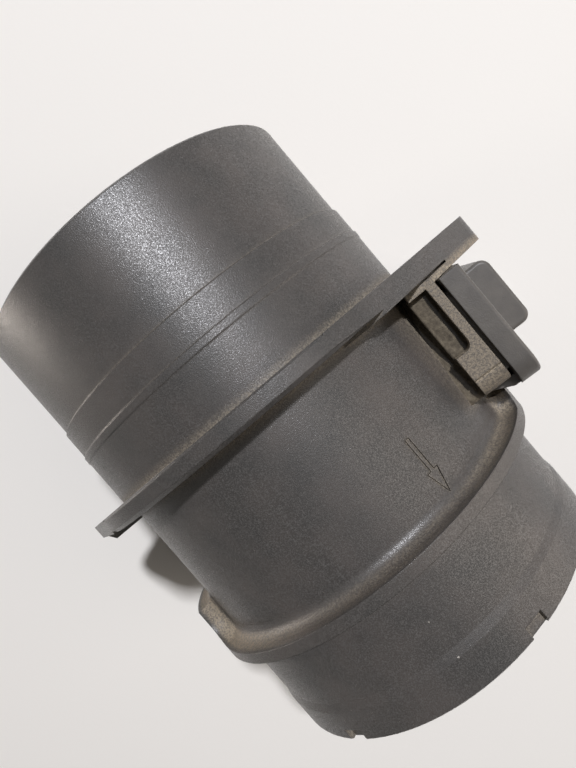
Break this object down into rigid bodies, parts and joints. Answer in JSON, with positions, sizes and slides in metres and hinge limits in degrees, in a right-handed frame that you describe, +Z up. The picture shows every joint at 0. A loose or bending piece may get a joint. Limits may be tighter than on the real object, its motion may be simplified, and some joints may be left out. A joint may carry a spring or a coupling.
{
  "type": "mass airflow sensor",
  "caption": "Moulded flow tube with a two-eared flange, a honeycomb inlet, a collared outlet spigot and a plug-in hot-film sensor blade with a four-way electrical socket.",
  "frame": {"origin": "on the flow axis, on the flange face that seats on the air box", "axes": "+X along the flow towards the outlet, +Y towards the plug-in sensor, +Z up; the ears lie along Y"},
  "size_m": [0.1064, 0.1233, 0.093],
  "materials": {
    "housing_plastic": "fine eroded grain, dusty",
    "plug_plastic": "fine eroded grain",
    "grid_plastic": "plain",
    "seal_rubber": "matt",
    "board_laminate": "ceramic board",
    "chip_resin": "moulded",
    "element_film": "polished silicon",
    "bead_glass": "fired glaze",
    "lead_wire": "drawn",
    "fixing_steel": "zinc plated",
    "terminal_tin": "tinned"
  },
  "bodies": {
    "root": {"flow_tube": "housing_plastic", "flow_straightener": "grid_plastic", "sensor_body": "plug_plastic", "electronics_lid": "plug_plastic", "bypass_lid": "plug_plastic", "seal_ring": "seal_rubber", "circuit_board": "board_laminate", "processor": "chip_resin", "capacitor_1": "chip_resin", "capacitor_2": "chip_resin", "element_carrier": "board_laminate", "sensing_element": "element_film", "temperature_bead": "bead_glass", "temperature_leads": "lead_wire", "plate_screw_1": "fixing_steel", "plate_screw_2": "fixing_steel", "ear_sleeve_1": "fixing_steel", "ear_sleeve_2": "fixing_steel", "terminal_1": "terminal_tin", "terminal_2": "terminal_tin", "terminal_3": "terminal_tin", "terminal_4": "terminal_tin"}
  },
  "joints": []
}
